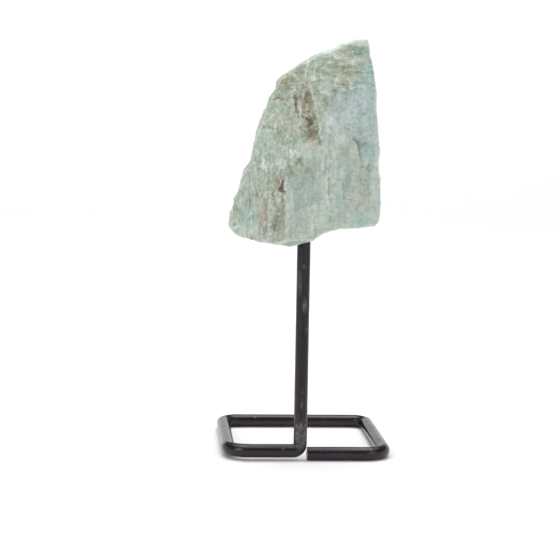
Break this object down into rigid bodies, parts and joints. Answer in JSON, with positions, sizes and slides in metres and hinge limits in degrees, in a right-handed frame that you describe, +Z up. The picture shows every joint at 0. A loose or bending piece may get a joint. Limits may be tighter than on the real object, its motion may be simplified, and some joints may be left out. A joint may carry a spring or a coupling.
{
  "type": "rough amazonite on pin stand",
  "caption": "Broken lump of rough blue-green amazonite, drilled from below and set on the upright of a stand bent from black round rod into an open square foot.",
  "frame": {"origin": "middle of the square foot, on the surface that the stand rests on", "axes": "+Z up; -Y towards the front, where the upright, the rod's free end and the stone's front face are; +X to the viewer's right"},
  "size_m": [0.0554, 0.0554, 0.1354],
  "materials": {
    "amazonite": "satin",
    "black_rod": "satin"
  },
  "bodies": {
    "root": {"amazonite_stone": "amazonite", "rod_stand": "black_rod"}
  },
  "joints": []
}
